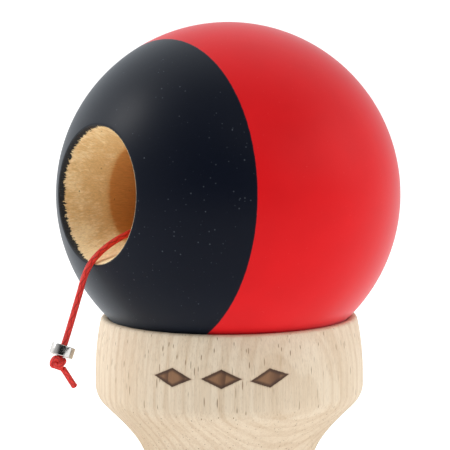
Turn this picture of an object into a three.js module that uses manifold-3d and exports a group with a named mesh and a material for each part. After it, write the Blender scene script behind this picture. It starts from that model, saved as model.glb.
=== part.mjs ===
// Kendama: a turned beech cup-and-ball toy, standing on its small cup with the ball resting in the
// big cup. The cross-piece (two cups back to back) stands along Z. The handle-and-spike piece runs
// through it along X, spike towards +X. The ball's bore points to the left and forward, and the
// string comes out of it over the lip, carrying a miniature ball bearing and an end knot.
// Units are millimetres, +Z is up and z = 0 is the surface that the small cup's rim stands on.
import * as THREE from 'three';
import { mergeVertices } from 'three/addons/utils/BufferGeometryUtils.js';
import Module from 'manifold-3d';

const wasm = await Module();
wasm.setup();

// ---- Clearances ----
const GAP = 0.3; // between wooden pieces that rest on or pass through each other
const BEARING_GAP = 0.03; // between the moving pieces inside the bearing
const CUTTER_REACH = 1; // how far a cutting tool runs past the face that it cuts

// ---- Ball ----
const BALL_R = 30;
const MOUTH_R = 11.6; // the bore's bevelled mouth, where it meets the ball's surface
const BEVEL_DEPTH = 8.3;
const BORE_R = 8.4;
const BORE_DEPTH = 36; // from the plane of the mouth to the foot of the bore's straight wall
const DRILL_POINT = 2.6; // the drill's cone at the bottom of the bore
const LIP_EASE = 0.8; // the mouth's edge is eased by this much
const BALL_HOLE_R = 1.5; // the string's hole, from the bore's bottom to the far side
const BORE_TURN = 217.13; // degrees about Z, from +X to the way that the bore points
const BORE_RISE = 3.29; // degrees that the bore points above level

// ---- Cross-piece ----
const CROSS_LENGTH = 70;
const WAIST_R = 14.35;
const SEAT_DROP = 0.7; // the foot of the inner lip's bevel, below the rim
const LIP_BEVEL = 0.7; // how far the inner lip's bevel runs inwards
const LIP_LAND = 0.6; // the rim's flat ring, from the inner lip's bevel to the outer chamfer
const RIM_CHAMFER = 0.3;
const BIG_CUP = {
  seatR: 20.9, bowlDepth: 15, bellyR: 23.55, bellyDepth: 10.2,
  cornerR: 23.35, cornerDepth: 13.9, waistDepth: 28,
};
const SMALL_CUP = {
  seatR: 18.2, bowlDepth: 11.5, bellyR: 20.8, bellyDepth: 8.2,
  cornerR: 20.6, cornerDepth: 11.4, waistDepth: 23.5,
};
const CORNER_ROUND = 1.6; // how far the shoulder's rounding reaches from its corner
const FLARE_PULL = 5.5; // how strongly the flare holds its 45 degree start and its upright end
const STRING_ROOM = 0.65; // round the string, in its holes through the cross-piece and the handle

// ---- Handle and spike ----
const KEN_HEIGHT = 36.2; // its axis above the small cup's rim
const SPIKE_REACH = 66; // from the cross-piece's axis to the spike's tip
const HANDLE_REACH = 95; // from the cross-piece's axis to the base cup's rim
const TAPER_R = 8.75; // the taper's thick end, inside the cross-piece
const TAPER_FALL = 0.4; // how much thinner the taper is where the spike leaves the cross-piece
const SHOULDER_STEP = 0.15; // how far the handle's shoulder stands out past the cross-piece's hole
const SPIKE_TIP_R = 3.6;
const GRIP_R = 9.5; // the handle's fullest place
const WRIST_R = 7.9; // the handle's slimmest place, above the base cup
const BASE_CUP_R = 18.6;
const BASE_SEAT_R = 16.4;
const BASE_BOWL_DEPTH = 8.5;
const BASE_CUP_WALL = 12.5; // the base cup's band, from its rim to the start of its flare
const KNOT_ROOM = 0.7; // round the anchor knot, in its pocket
const HOLE_CHAMFER = 0.6;

// ---- String ----
const STRING_R = 0.55;
const WINDING_FOOT = 22.3; // the winding's underside above the small cup's rim
const WINDING_TURNS = 3;
const TURN_PITCH = 1.2;
const WINDING_THICKNESS = 1.3;
const END_KNOT_R = 1.4;
const END_KNOT_HALF_HEIGHT = 1.1; // along the string, pressed against the bearing
const ANCHOR_KNOT_R = 1.4;
const KNOT_GAP = 0.1; // between a knot and the string or ring that it meets
const TUBE_SIDES = 8;

// ---- Bearing ----
const BEARING_R = 2;
const BEARING_WIDTH = 1.8;
const BEARING_BORE_R = 0.75;
const INNER_LAND_R = 1.08;
const OUTER_LAND_R = 1.56;
const ROLLER_R = 0.3;
const ROLLER_COUNT = 7;
const SHIELD_THICKNESS = 0.12;
const SHIELD_INSET = 0.08;
const BEARING_CHAMFER = 0.12;
const CAGE_ROOM = 0.12; // between the cage and each ring's land
const CAGE_WEB = 0.16; // the cage's material beyond its pockets
const CAGE_FOOT = 0.06; // the cage's open side, past the middle of its balls
const POCKET_GAP = 0.04;

// ---- Facets ----
const BALL_SEGMENTS = 48;
const CROSS_SEGMENTS = 40;
const HANDLE_SEGMENTS = 32;
const CURVE_STEPS = 4; // facets along each curve of an outline
const BOWL_STEPS = 6;
const HOLE_SEGMENTS = 16;
const BEARING_SEGMENTS = 28;

// ---- Places worked out from the sizes ----
const crossAxisX = (HANDLE_REACH - SPIKE_REACH) / 2;
const ballHeightOver = (edgeR) => Math.sqrt((BALL_R + GAP) ** 2 - edgeR ** 2);
const ballCentreZ = CROSS_LENGTH + Math.max(
  ballHeightOver(BIG_CUP.seatR) - SEAT_DROP, ballHeightOver(BIG_CUP.seatR + LIP_BEVEL));
const mouthPlane = Math.sqrt(BALL_R ** 2 - MOUTH_R ** 2);
const boreTurn = THREE.MathUtils.degToRad(BORE_TURN);
const boreRise = THREE.MathUtils.degToRad(BORE_RISE);
const boreAxis = new THREE.Vector3(
  Math.cos(boreRise) * Math.cos(boreTurn), Math.cos(boreRise) * Math.sin(boreTurn), Math.sin(boreRise));
const spikeRootR = TAPER_R - TAPER_FALL;
const handleHoleR = TAPER_R + GAP;
const spikeHoleR = spikeRootR + GAP;
const shoulderR = handleHoleR + SHOULDER_STEP;
const stringHoleR = STRING_R + STRING_ROOM;
const knotPocketDepth = 2 * ANCHOR_KNOT_R + 2 * KNOT_GAP + GAP / 2;
const bearingPitchR = (INNER_LAND_R + OUTER_LAND_R) / 2;

const beech = { color: 0xe3cfae, roughness: 0.62, metalness: 0 };
const navyPaint = { color: 0x1b2230, roughness: 0.45, metalness: 0 };
const redCord = { color: 0xc8161b, roughness: 0.7, metalness: 0 };
const polishedSteel = { color: 0xd4d5d6, roughness: 0.18, metalness: 1 };
const brassCage = { color: 0xb89a5a, roughness: 0.35, metalness: 1 };

const kendama = new THREE.Group();
kendama.name = 'kendama';

// The cross-piece stands on this group's origin, and everything is placed from it.
const onCrossAxis = new THREE.Group();
onCrossAxis.position.set(crossAxisX, 0, 0);
kendama.add(onCrossAxis);

/** A closed geometry as a manifold solid, with its shared vertices merged. */
function solidOf(geometry) {
  const bare = geometry.clone();
  bare.deleteAttribute('normal');
  bare.deleteAttribute('uv');
  const merged = mergeVertices(bare, 1e-5);
  const corners = merged.index.array;
  const triangles = [];
  for (let i = 0; i < corners.length; i += 3) {
    const [a, b, c] = [corners[i], corners[i + 1], corners[i + 2]];
    if (a !== b && b !== c && c !== a) triangles.push(a, b, c);
  }
  return new wasm.Manifold(new wasm.Mesh({
    numProp: 3,
    vertProperties: new Float32Array(merged.attributes.position.array),
    triVerts: new Uint32Array(triangles),
  }));
}

/** A solid's surface as a geometry, with normals of its own. */
function geometryOf(solid) {
  const mesh = solid.getMesh();
  const geometry = new THREE.BufferGeometry();
  geometry.setAttribute('position', new THREE.BufferAttribute(new Float32Array(mesh.vertProperties), 3));
  geometry.setIndex(new THREE.BufferAttribute(new Uint32Array(mesh.triVerts), 1));
  geometry.computeVertexNormals();
  return geometry;
}

/** Adds a solid to a group as a named mesh with its own material. */
function addPiece(group, name, solid, finish) {
  const mesh = new THREE.Mesh(geometryOf(solid), new THREE.MeshStandardMaterial(finish));
  mesh.name = name;
  group.add(mesh);
  return mesh;
}

/** A turned solid about +Z from an outline of radius and height, read anticlockwise. */
function turned(outline, segments) {
  return solidOf(new THREE.LatheGeometry(outline, segments).rotateX(Math.PI / 2));
}

/** A round hole's cutter, tapered from one radius to another, along a direction. */
function roundCutter(startR, endR, length, segments) {
  return new THREE.CylinderGeometry(endR, startR, length, segments).translate(0, length / 2, 0);
}

/** Points of a circular arc in the outline's plane, both ends included. */
function arcPoints(centreR, centreZ, radius, fromAngle, toAngle, steps) {
  const points = [];
  for (let i = 0; i <= steps; i += 1) {
    const angle = fromAngle + (toAngle - fromAngle) * (i / steps);
    points.push(new THREE.Vector2(centreR + radius * Math.cos(angle), centreZ + radius * Math.sin(angle)));
  }
  return points;
}

/** A cup's bowl from its centre out to its seat edge, as radius and depth below the rim. */
function bowlOutline(seatR, seatDrop, bowlDepth, steps) {
  const rise = bowlDepth - seatDrop;
  const bowlR = (seatR ** 2 + rise ** 2) / (2 * rise);
  const edgeAngle = Math.asin(seatR / bowlR);
  const points = [];
  for (let i = 0; i <= steps; i += 1) {
    const angle = edgeAngle * (i / steps);
    points.push(new THREE.Vector2(bowlR * Math.sin(angle), bowlDepth - bowlR * (1 - Math.cos(angle))));
  }
  return points;
}

/** A cup's outside from its rim down to the waist, as radius and depth below the rim. */
function cupOutside(cup) {
  const rimR = cup.seatR + LIP_BEVEL + LIP_LAND + RIM_CHAMFER;
  const slope = Math.SQRT1_2;
  const bandFoot = new THREE.Vector2(cup.bellyR, cup.cornerDepth - CORNER_ROUND);
  const flareTop = new THREE.Vector2(
    cup.cornerR - CORNER_ROUND * slope, cup.cornerDepth + CORNER_ROUND * slope);
  const outside = new THREE.Path();
  outside.moveTo(cup.seatR + LIP_BEVEL, 0);
  outside.lineTo(rimR - RIM_CHAMFER, 0);
  outside.lineTo(rimR, RIM_CHAMFER);
  outside.quadraticCurveTo(cup.bellyR, cup.bellyDepth * 0.5, cup.bellyR, cup.bellyDepth);
  outside.lineTo(bandFoot.x, bandFoot.y);
  outside.quadraticCurveTo(cup.cornerR, cup.cornerDepth, flareTop.x, flareTop.y);
  outside.bezierCurveTo(
    flareTop.x - FLARE_PULL * slope, flareTop.y + FLARE_PULL * slope,
    WAIST_R, cup.waistDepth - FLARE_PULL, WAIST_R, cup.waistDepth);
  return outside.getPoints(CURVE_STEPS);
}

/** One cup's outline from the middle of its bowl, over the rim and down the outside to the waist. */
function cupOutline(cup) {
  return [...bowlOutline(cup.seatR, SEAT_DROP, cup.bowlDepth, BOWL_STEPS), ...cupOutside(cup)];
}

// ---- Cross-piece: two cups back to back on a waist that the handle piece passes through ----
function buildCrossPiece() {
  const lower = cupOutline(SMALL_CUP);
  const upper = cupOutline(BIG_CUP).map((p) => new THREE.Vector2(p.x, CROSS_LENGTH - p.y)).reverse();
  const body = turned([...lower, ...upper], CROSS_SEGMENTS);
  const hole = roundCutter(handleHoleR, spikeHoleR, 2 * WAIST_R, HOLE_SEGMENTS * 2)
    .rotateZ(-Math.PI / 2).translate(-WAIST_R, 0, KEN_HEIGHT);
  let cut = body.subtract(solidOf(hole));
  for (const [side, radius, clearR] of [[-1, handleHoleR, shoulderR + GAP], [1, spikeHoleR, spikeHoleR]]) {
    const mouth = roundCutter(radius, radius + HOLE_CHAMFER + CUTTER_REACH, HOLE_CHAMFER + CUTTER_REACH,
      HOLE_SEGMENTS * 2);
    mouth.rotateZ(-side * Math.PI / 2).translate(side * (WAIST_R - HOLE_CHAMFER), 0, KEN_HEIGHT);
    const clearance = roundCutter(clearR, clearR, BIG_CUP.bellyR, HOLE_SEGMENTS * 2);
    clearance.rotateZ(-side * Math.PI / 2).translate(side * WAIST_R, 0, KEN_HEIGHT);
    cut = cut.subtract(solidOf(mouth)).subtract(solidOf(clearance));
  }
  const stringHole = roundCutter(stringHoleR, stringHoleR, WAIST_R + CUTTER_REACH, HOLE_SEGMENTS)
    .translate(0, 0, KEN_HEIGHT);
  cut = cut.subtract(solidOf(stringHole));
  addPiece(onCrossAxis, 'cross_piece', cut, beech);
}

// ---- Handle piece: base cup, grip, taper through the cross-piece, and spike ----
function kenOutline() {
  const tipRound = SPIKE_TIP_R;
  const bowl = bowlOutline(BASE_SEAT_R, SEAT_DROP, BASE_BOWL_DEPTH, BOWL_STEPS)
    .map((p) => new THREE.Vector2(p.x, p.y - HANDLE_REACH));
  const side = new THREE.Path();
  side.moveTo(BASE_SEAT_R + LIP_BEVEL, -HANDLE_REACH);
  side.lineTo(BASE_CUP_R - 1, -HANDLE_REACH);
  side.quadraticCurveTo(BASE_CUP_R, -HANDLE_REACH + 3, BASE_CUP_R, -HANDLE_REACH + BASE_CUP_WALL * 0.55);
  side.lineTo(BASE_CUP_R - 0.5, -HANDLE_REACH + BASE_CUP_WALL);
  side.bezierCurveTo(
    WRIST_R + 2, -HANDLE_REACH + BASE_CUP_WALL + 5, WRIST_R, -HANDLE_REACH + BASE_CUP_WALL + 9,
    WRIST_R, -HANDLE_REACH + BASE_CUP_WALL + 16);
  side.bezierCurveTo(
    WRIST_R, -HANDLE_REACH * 0.55, GRIP_R, -HANDLE_REACH * 0.5, GRIP_R, -HANDLE_REACH * 0.38);
  side.quadraticCurveTo(GRIP_R, -WAIST_R - 8, shoulderR, -WAIST_R - GAP);
  const taper = [new THREE.Vector2(TAPER_R, -WAIST_R - GAP), new THREE.Vector2(spikeRootR, WAIST_R)];
  const spike = new THREE.Path();
  spike.moveTo(spikeRootR, WAIST_R + 2);
  spike.quadraticCurveTo(
    spikeRootR - 0.8, (WAIST_R + SPIKE_REACH) / 2, SPIKE_TIP_R, SPIKE_REACH - tipRound);
  const tip = arcPoints(0, SPIKE_REACH - tipRound, tipRound, 0, Math.PI / 2, CURVE_STEPS).slice(1);
  return [...bowl, ...side.getPoints(CURVE_STEPS), ...taper, ...spike.getPoints(CURVE_STEPS), ...tip];
}

function buildKen() {
  const body = turned(kenOutline(), HANDLE_SEGMENTS);
  const pocketR = ANCHOR_KNOT_R + KNOT_ROOM;
  const crossHole = roundCutter(stringHoleR, stringHoleR, 2 * (TAPER_R + CUTTER_REACH), HOLE_SEGMENTS)
    .translate(0, -TAPER_R - CUTTER_REACH, 0);
  const pocket = roundCutter(pocketR, pocketR, knotPocketDepth + CUTTER_REACH, HOLE_SEGMENTS)
    .translate(0, -TAPER_R - CUTTER_REACH, 0);
  const cut = body.subtract(solidOf(crossHole)).subtract(solidOf(pocket));
  const ken = new THREE.Group();
  ken.position.set(0, 0, KEN_HEIGHT);
  ken.rotation.set(0, Math.PI / 2, 0);
  onCrossAxis.add(ken);
  addPiece(ken, 'handle_and_spike', cut, beech);
}

// ---- Ball: bevelled bore on one side, a small string hole right through to the other ----
function buildBall() {
  const boreFoot = mouthPlane - BORE_DEPTH;
  const holeFoot = Math.sqrt(BALL_R ** 2 - BALL_HOLE_R ** 2);
  const from = Math.atan2(-holeFoot, BALL_HOLE_R);
  const easedR = MOUTH_R + LIP_EASE / 2;
  const to = Math.acos(easedR / BALL_R);
  const outline = [
    ...arcPoints(0, 0, BALL_R, from, to, 21),
    new THREE.Vector2(MOUTH_R, mouthPlane - LIP_EASE * 0.25),
    new THREE.Vector2(MOUTH_R - LIP_EASE / 2, mouthPlane - LIP_EASE),
    new THREE.Vector2(BORE_R, mouthPlane - BEVEL_DEPTH),
    new THREE.Vector2(BORE_R, boreFoot),
    new THREE.Vector2(BALL_HOLE_R, boreFoot - DRILL_POINT),
  ];
  outline.push(outline[0].clone());
  const ball = new THREE.Group();
  ball.position.set(0, 0, ballCentreZ);
  ball.quaternion.setFromUnitVectors(new THREE.Vector3(0, 0, 1), boreAxis);
  onCrossAxis.add(ball);
  addPiece(ball, 'ball', turned(outline, BALL_SEGMENTS), navyPaint);
}

// ---- String ----
/** A point of the upright plane through the bore's axis: distance along it, and height over the ball. */
function inBorePlane(along, height) {
  return new THREE.Vector3(
    along * Math.cos(boreTurn), along * Math.sin(boreTurn), ballCentreZ + height);
}

/** A point round the cross-piece: degrees from +X towards +Y, distance from its axis, and height. */
function roundCross(degrees, radius, height) {
  const turn = THREE.MathUtils.degToRad(degrees);
  return new THREE.Vector3(radius * Math.cos(turn), radius * Math.sin(turn), height);
}

/** The run through the ball and over the lip, from behind the ball to the end knot. */
const FRONT_RUN = [
  [-32.9, -5.2], [-32.8, -3.9], [-32.1, -2.6], [-30.9, -1.9], [-28, -1.61], [-15, -0.86], [-4, -0.5],
  [2, -0.95], [8, -2], [14, -3.4], [18.5, -4.6], [22.4, -5.8], [25, -6.95], [27.2, -8.35],
  [28.9, -9.95], [30.05, -11.9], [30.95, -14.3], [32.95, -19.7], [34, -22.4], [34.95, -24.7],
];

/** The run up behind the flare, over the big cup's edge and to the ball's back hole. */
const BACK_RUN = [
  [112, 17, 26.9], [105.5, 17, 28.3], [101, 17.1, 31], [97.5, 17.3, 34.5], [92.5, 17.8, 38.5],
  [76, 20.1, 47], [64.5, 24.25, 56], [60, 25.05, 60.3], [45.85, 28.7, 74], [40.56, 31.06, 80.2],
  [37.9, 32.2, 83.6], [37.13, 32.75, 85.64],
];

/** The run from the cross-piece's wall out and down to the winding. */
const EXIT_RUN = [
  [90, 10.2, 36.2], [90, 15.2, 36.2], [90, 16.7, 35.75], [89.5, 17.4, 34.3], [88, 17.3, 32.2],
  [85, 16.9, 29.9], [79, 16.4, 28], [70, 16.1, 26.8],
];

const TAIL_RUN = [[34.15, -27.4], [33.6, -28.2], [33, -29.1], [32.35, -30.05]];

/** A cord's tube along a route, closed at both ends. */
function cordTube(points, steps, radius) {
  const curve = new THREE.CatmullRomCurve3(points, false, 'centripetal');
  const section = new THREE.Shape();
  for (let i = 0; i < TUBE_SIDES; i += 1) {
    const angle = (i / TUBE_SIDES) * 2 * Math.PI;
    const corner = [radius * Math.cos(angle), radius * Math.sin(angle)];
    if (i === 0) section.moveTo(...corner);
    else section.lineTo(...corner);
  }
  section.closePath();
  return new THREE.ExtrudeGeometry(section, { steps, bevelEnabled: false, extrudePath: curve });
}

/** A knot's solid: a ball pressed flat along Z, which is the cord's direction. */
function knotSolid(radius, halfHeight) {
  return solidOf(new THREE.SphereGeometry(radius, 12, 8).scale(1, 1, halfHeight / radius));
}

function buildString() {
  const inner = neckRadius() + GAP;
  const outer = inner + WINDING_THICKNESS;
  const top = WINDING_FOOT + WINDING_TURNS * TURN_PITCH;
  const section = [[inner, WINDING_FOOT], [outer, WINDING_FOOT], [outer, top], [inner, top],
    [inner, WINDING_FOOT]].map(([r, z]) => new THREE.Vector2(r, z));
  addPiece(onCrossAxis, 'string_winding', turned(section, 32), redCord);

  const exit = EXIT_RUN.map((place) => roundCross(...place));
  addPiece(onCrossAxis, 'string_exit_run', solidOf(cordTube(exit, 9, STRING_R)), redCord);
  const back = BACK_RUN.map((place) => roundCross(...place));
  addPiece(onCrossAxis, 'string_back_run', solidOf(cordTube(back, 22, STRING_R)), redCord);
  const front = FRONT_RUN.map(([along, height]) => inBorePlane(along, height));
  addPiece(onCrossAxis, 'string_front_run', solidOf(cordTube(front, 38, STRING_R)), redCord);
  const tail = TAIL_RUN.map(([along, height]) => inBorePlane(along, height));
  addPiece(onCrossAxis, 'string_tail', solidOf(cordTube(tail, 3, STRING_R)), redCord);

  const endKnot = addPiece(
    onCrossAxis, 'string_end_knot', knotSolid(END_KNOT_R, END_KNOT_HALF_HEIGHT), redCord);
  endKnot.position.copy(stringEnd()).addScaledVector(endDirection(), END_KNOT_HALF_HEIGHT + KNOT_GAP);
  endKnot.quaternion.setFromUnitVectors(new THREE.Vector3(0, 0, 1), endDirection());

  const pocketFloor = knotPocketDepth - TAPER_R;
  const inHandle = [pocketFloor, spikeRootR - GAP].map((y) => new THREE.Vector3(0, y, KEN_HEIGHT));
  addPiece(onCrossAxis, 'string_in_handle', solidOf(cordTube(inHandle, 2, STRING_R)), redCord);
  const anchor = addPiece(
    onCrossAxis, 'string_anchor_knot', knotSolid(ANCHOR_KNOT_R, ANCHOR_KNOT_R), redCord);
  anchor.position.set(0, pocketFloor - ANCHOR_KNOT_R - KNOT_GAP, KEN_HEIGHT);
}

/** The cross-piece's radius at the winding's underside, from the small cup's outside. */
function neckRadius() {
  const outside = cupOutside(SMALL_CUP);
  const above = outside.findIndex((p) => p.y > WINDING_FOOT);
  return above < 0 ? WAIST_R : outside[above - 1].x;
}

/** Where the front run ends, in the middle of the bearing's lower face. */
function stringEnd() {
  return inBorePlane(...FRONT_RUN.at(-1));
}

/** The string's direction through the bearing, from the route's last two points. */
function endDirection() {
  return stringEnd().sub(inBorePlane(...FRONT_RUN.at(-2))).normalize();
}

// ---- Bearing: outer ring with two shields, rollers in a cage, and an inner ring on the string ----
/** A ring's outline with a raceway groove on one side: side +1 grooves its outside, -1 its inside. */
function raceOutline(plainR, landR, side) {
  const half = BEARING_WIDTH / 2;
  const grooveR = bearingPitchR - side * (ROLLER_R + BEARING_GAP);
  const landOffset = bearingPitchR - INNER_LAND_R;
  const grooveHalf = Math.sqrt((ROLLER_R + 2 * BEARING_GAP) ** 2 - landOffset ** 2);
  const plain = [
    [plainR, -half + BEARING_CHAMFER], [plainR + side * BEARING_CHAMFER, -half],
  ];
  const land = [[landR, -half], [landR, -grooveHalf], [grooveR, -grooveHalf / 2]];
  const oneWay = [...plain, ...land];
  const mirrored = oneWay.map(([r, z]) => [r, -z]).reverse();
  const loop = [...oneWay, ...mirrored];
  if (side < 0) loop.reverse();
  loop.push(loop[0]);
  return loop.map(([r, z]) => new THREE.Vector2(r, z));
}

function buildBearing() {
  const bearing = new THREE.Group();
  bearing.position.copy(stringEnd()).addScaledVector(endDirection(), -BEARING_WIDTH / 2);
  bearing.quaternion.setFromUnitVectors(new THREE.Vector3(0, 0, 1), endDirection());
  onCrossAxis.add(bearing);

  addPiece(bearing, 'bearing_inner_ring',
    turned(raceOutline(BEARING_BORE_R, INNER_LAND_R, 1), BEARING_SEGMENTS), polishedSteel);
  addPiece(bearing, 'bearing_outer_ring',
    turned(raceOutline(BEARING_R, OUTER_LAND_R, -1), BEARING_SEGMENTS), polishedSteel);

  const shieldFace = BEARING_WIDTH / 2 - SHIELD_INSET;
  const shieldInner = INNER_LAND_R + 2 * BEARING_GAP;
  const shieldOuter = OUTER_LAND_R - BEARING_GAP;
  const shieldSection = [
    [shieldInner, 0], [shieldOuter, 0], [shieldOuter, SHIELD_THICKNESS], [shieldInner, SHIELD_THICKNESS],
    [shieldInner, 0]].map(([r, z]) => new THREE.Vector2(r, z));
  for (const [name, z] of [['front', shieldFace - SHIELD_THICKNESS], ['back', -shieldFace]]) {
    addPiece(bearing, `bearing_shield_${name}`, turned(shieldSection, BEARING_SEGMENTS), polishedSteel)
      .position.set(0, 0, z);
  }

  const cageIn = INNER_LAND_R + CAGE_ROOM;
  const cageOut = OUTER_LAND_R - CAGE_ROOM;
  const cageTop = ROLLER_R + POCKET_GAP + CAGE_WEB;
  let cage = turned([[cageIn, CAGE_FOOT], [cageOut, CAGE_FOOT], [cageOut, cageTop], [cageIn, cageTop],
    [cageIn, CAGE_FOOT]].map(([r, z]) => new THREE.Vector2(r, z)), BEARING_SEGMENTS);
  for (let i = 0; i < ROLLER_COUNT; i += 1) {
    const angle = (i / ROLLER_COUNT) * 2 * Math.PI;
    const place = new THREE.Vector3(bearingPitchR * Math.cos(angle), bearingPitchR * Math.sin(angle), 0);
    addPiece(bearing, `bearing_ball_${i + 1}`,
      solidOf(new THREE.SphereGeometry(ROLLER_R, 10, 7)), polishedSteel).position.copy(place);
    cage = cage.subtract(solidOf(
      new THREE.SphereGeometry(ROLLER_R + POCKET_GAP, 10, 7).translate(place.x, place.y, 0)));
  }
  addPiece(bearing, 'bearing_cage', cage, brassCage);
}

buildCrossPiece();
buildKen();
buildBall();
buildString();
buildBearing();

export default kendama;
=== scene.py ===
"""The looks of a kendama standing on its small cup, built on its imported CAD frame.

Lengths named in millimetres are turned into metres where a mesh is made. The string's route is in metres.
"""

import logging
import math
from dataclasses import dataclass, field
from enum import Enum
from typing import Iterable, Sequence

import bmesh
import bpy
from mathutils import Euler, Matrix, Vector


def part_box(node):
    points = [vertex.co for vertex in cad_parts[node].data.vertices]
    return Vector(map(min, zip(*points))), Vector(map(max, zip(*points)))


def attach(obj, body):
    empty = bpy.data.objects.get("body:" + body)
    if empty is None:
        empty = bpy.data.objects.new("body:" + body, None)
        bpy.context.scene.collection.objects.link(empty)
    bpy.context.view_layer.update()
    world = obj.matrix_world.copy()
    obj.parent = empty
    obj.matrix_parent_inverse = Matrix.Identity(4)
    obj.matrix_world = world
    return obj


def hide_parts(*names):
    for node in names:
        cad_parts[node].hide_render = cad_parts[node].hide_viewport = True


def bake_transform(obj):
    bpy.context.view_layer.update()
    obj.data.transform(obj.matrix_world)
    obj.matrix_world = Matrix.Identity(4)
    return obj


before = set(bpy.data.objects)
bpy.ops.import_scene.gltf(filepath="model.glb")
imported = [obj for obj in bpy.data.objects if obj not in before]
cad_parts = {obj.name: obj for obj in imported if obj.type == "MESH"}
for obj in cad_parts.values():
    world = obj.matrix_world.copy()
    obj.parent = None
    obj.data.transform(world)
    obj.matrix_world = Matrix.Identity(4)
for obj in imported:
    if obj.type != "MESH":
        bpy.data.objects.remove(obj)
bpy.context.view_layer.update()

LOG = logging.getLogger("kendama")
MM = 0.001
Point = tuple[float, float]
Place = tuple[float, float, float]
Colour = tuple[float, float, float, float]

CROSS_X = 14.5  # mm, the cross-piece's axis
HANDLE_Z = 36.2  # mm, the handle's axis
BALL_Z = 91.238  # mm, the ball's centre
BORE_TURN = math.radians(217.13)  # the way that the bore faces, seen from above
BORE_RISE = math.radians(3.29)
STRING_RADIUS = 0.535  # mm
SOFT_CORNER = math.radians(14)  # an outline's corner that turns by less than this is left as it is
SEAT_DROP = 0.7  # mm, the foot of each cup's inner lip below its rim
SAME_POINT = 1e-6  # mm
WELD = 4e-6  # m, what is closer than this after a cut is merged
SHEEN_ROUGHNESS = 0.42
SHEEN_TINT = (0.74, 0.88, 1.0, 1.0)


def bore_axis() -> Vector:
    """The direction out of the ball's bore."""
    level = math.cos(BORE_RISE)
    return Vector((level * math.cos(BORE_TURN), level * math.sin(BORE_TURN), math.sin(BORE_RISE)))


def linear(red: int, green: int, blue: int) -> Colour:
    """Turns an 8-bit sRGB colour into the linear one that shaders use.

    Args:
        red: 0 to 255.
        green: 0 to 255.
        blue: 0 to 255.

    Returns:
        The linear colour, opaque.
    """
    parts = [c / 255 for c in (red, green, blue)]
    r, g, b = (c / 12.92 if c <= 0.04045 else ((c + 0.055) / 1.055) ** 2.4 for c in parts)
    return (r, g, b, 1.0)


# ---------------------------------------------------------------- outlines and meshes


@dataclass
class Outline:
    """The half outline of a turned piece, as radius and height in millimetres."""

    points: list[Point] = field(default_factory=list)
    closed: bool = False

    def to(self, *points: Point) -> "Outline":
        """Draws straight lines."""
        self.points.extend(points)
        return self

    def curve(self, *points: Point, steps: int) -> "Outline":
        """Draws a curve, or a straight line where only its end is given.

        Args:
            points: The control points, then the end.
            steps: How many lines it is made of.

        Returns:
            This outline.
        """
        degree = len(points)
        known = (self.points[-1], *points)
        for i in range(1, steps + 1):
            t = i / steps
            weights = [math.comb(degree, k) * (1 - t) ** (degree - k) * t**k for k in range(degree + 1)]
            self.points.append(tuple(sum(w * p[k] for w, p in zip(weights, known)) for k in (0, 1)))
        return self

    def bowl(self, centre_height: float, start: float, end: float, radius: float, steps: int) -> "Outline":
        """Draws part of a circle whose centre is on the axis.

        Args:
            centre_height: The circle's centre, in mm.
            start: The first angle from the axis's upward direction, in radians.
            end: The last one.
            radius: The circle's radius, in mm.
            steps: How many lines it is made of.

        Returns:
            This outline.
        """
        for i in range(steps + 1):
            a = start + (end - start) * i / steps
            self.points.append((max(radius * math.sin(a), 0.0), centre_height + radius * math.cos(a)))
        return self

    def eased(self, size: float, steps: int = 3) -> "Outline":
        """Rounds every corner that turns by more than SOFT_CORNER.

        Args:
            size: How far from the corner the rounding starts, in mm, at most.
            steps: How many lines each rounding is made of.

        Returns:
            A new outline.
        """
        count = len(self.points)
        made = Outline([], self.closed)
        for i, here in enumerate(self.points):
            ends = i in (0, count - 1) and not self.closed
            before = Vector(self.points[i - 1])
            after = Vector(self.points[(i + 1) % count])
            corner = Vector(here)
            back, on = before - corner, after - corner
            short = min(back.length, on.length) < SAME_POINT
            if ends or short or math.pi - back.angle(on) < SOFT_CORNER:
                made.points.append(here)
                continue
            reach = min(size, 0.45 * back.length, 0.45 * on.length)
            made.points.append(tuple(corner + back.normalized() * reach))
            made.curve(here, tuple(corner + on.normalized() * reach), steps=steps)
        return made


@dataclass(frozen=True)
class Spindle:
    """A lathe's axis: where height 0 is, which way height grows and which way radius is drawn."""

    origin: Vector
    along: Vector
    side: Vector

    def at(self, radius: float, height: float) -> Vector:
        """Places one point of an outline."""
        return self.origin + (self.side * radius + self.along * height) * MM


def upright() -> Spindle:
    """The cross-piece's axis, with heights from the floor."""
    return Spindle(Vector((CROSS_X * MM, 0, 0)), Vector((0, 0, 1)), Vector((1, 0, 0)))


def level() -> Spindle:
    """The handle's axis, with heights from the cross-piece's axis towards the spike's tip."""
    return Spindle(Vector((CROSS_X, 0, HANDLE_Z)) * MM, Vector((1, 0, 0)), Vector((0, 0, 1)))


def through_ball() -> Spindle:
    """The bore's axis, with heights from the ball's centre towards the mouth."""
    axis = bore_axis()
    return Spindle(Vector((CROSS_X, 0, BALL_Z)) * MM, axis, axis.orthogonal().normalized())


def dish(seat: float, depth: float, steps: int) -> list[Point]:
    """The section of a round bowl, from its middle to its seat.

    Args:
        seat: The radius where it meets the rim's inner lip.
        depth: From the rim down to the middle.
        steps: How many lines it is made of.

    Returns:
        The radius and depth of each point.
    """
    fall = depth - SEAT_DROP
    radius = (seat**2 + fall**2) / (2 * fall)
    turns = [math.asin(seat / radius) * i / steps for i in range(steps + 1)]
    return [(radius * math.sin(a), depth - radius * (1 - math.cos(a))) for a in turns]


def through_string_hole() -> Spindle:
    """The axis of the string's hole through both wooden pieces, with heights towards the back."""
    return Spindle(level().origin, Vector((0, 1, 0)), Vector((1, 0, 0)))


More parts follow.
